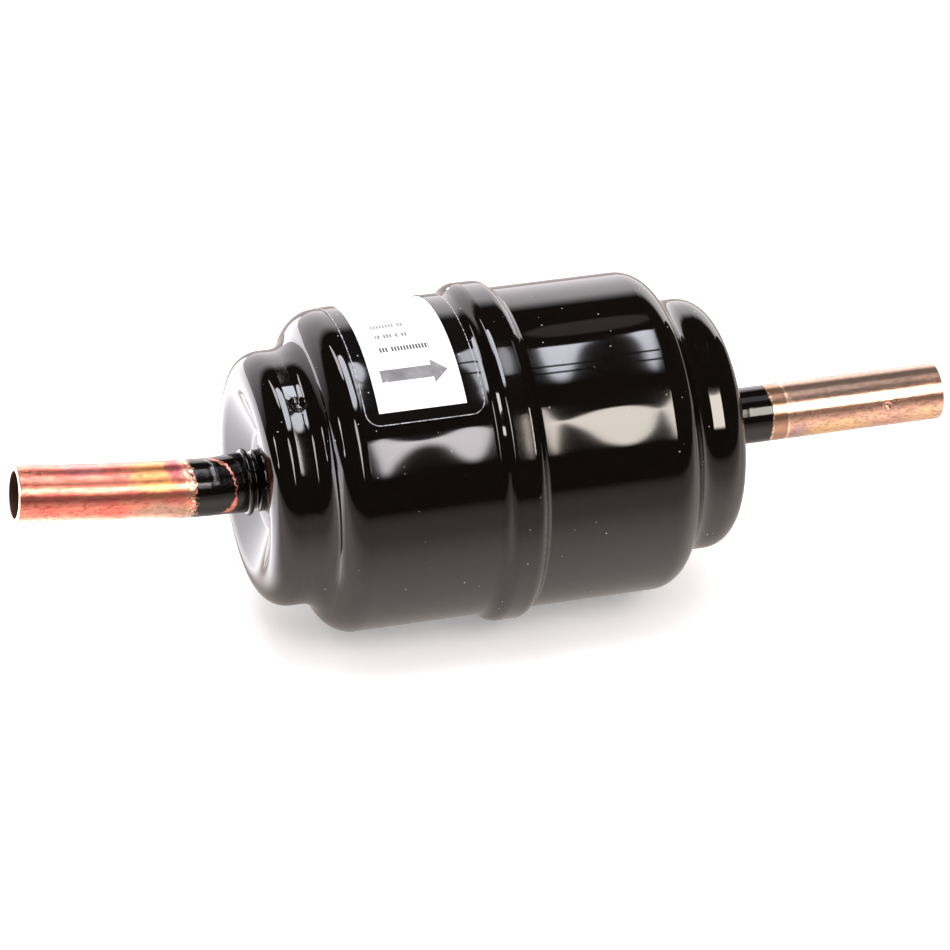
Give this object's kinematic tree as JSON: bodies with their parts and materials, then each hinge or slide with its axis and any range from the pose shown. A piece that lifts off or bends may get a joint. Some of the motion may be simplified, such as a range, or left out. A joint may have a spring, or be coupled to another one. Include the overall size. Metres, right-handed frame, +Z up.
{
  "type": "filter drier",
  "caption": "Hermetic liquid-line filter drier: welded two-cup steel can with stepped ends, a flow-arrow label and brazed copper tubes with solder sockets.",
  "frame": {"origin": "on the can's axis at the middle of the seam bead, which is the middle of the part's box", "axes": "+X along the can in the direction of flow, from the bent inlet tube to the straight outlet tube, +Z up, towards the label"},
  "size_m": [0.1971, 0.0697, 0.0696],
  "materials": {
    "black_enamel": "high gloss baked enamel",
    "bare_copper": "drawn and heat tinted",
    "plain_steel": "pressed, bare",
    "grey_felt": "needled felt",
    "desiccant_block": "porous moulded beads",
    "white_label": "coated",
    "clear_film": "clear gloss"
  },
  "bodies": {
    "root": {"inlet_shell": "black_enamel", "outlet_shell": "black_enamel", "girth_weld": "black_enamel", "inlet_spud": "black_enamel", "outlet_spud": "black_enamel", "inlet_spud_weld": "black_enamel", "outlet_spud_weld": "black_enamel", "inlet_braze_ring": "black_enamel", "outlet_braze_ring": "black_enamel", "inlet_tube": "bare_copper", "outlet_tube": "bare_copper", "label_sheet": "white_label", "label_overlay": "clear_film", "pressure_spring": "plain_steel", "spring_plate": "plain_steel", "inlet_pad": "grey_felt", "desiccant_core": "desiccant_block", "core_seal": "grey_felt", "outlet_pad": "grey_felt", "support_plate": "plain_steel"}
  },
  "joints": []
}
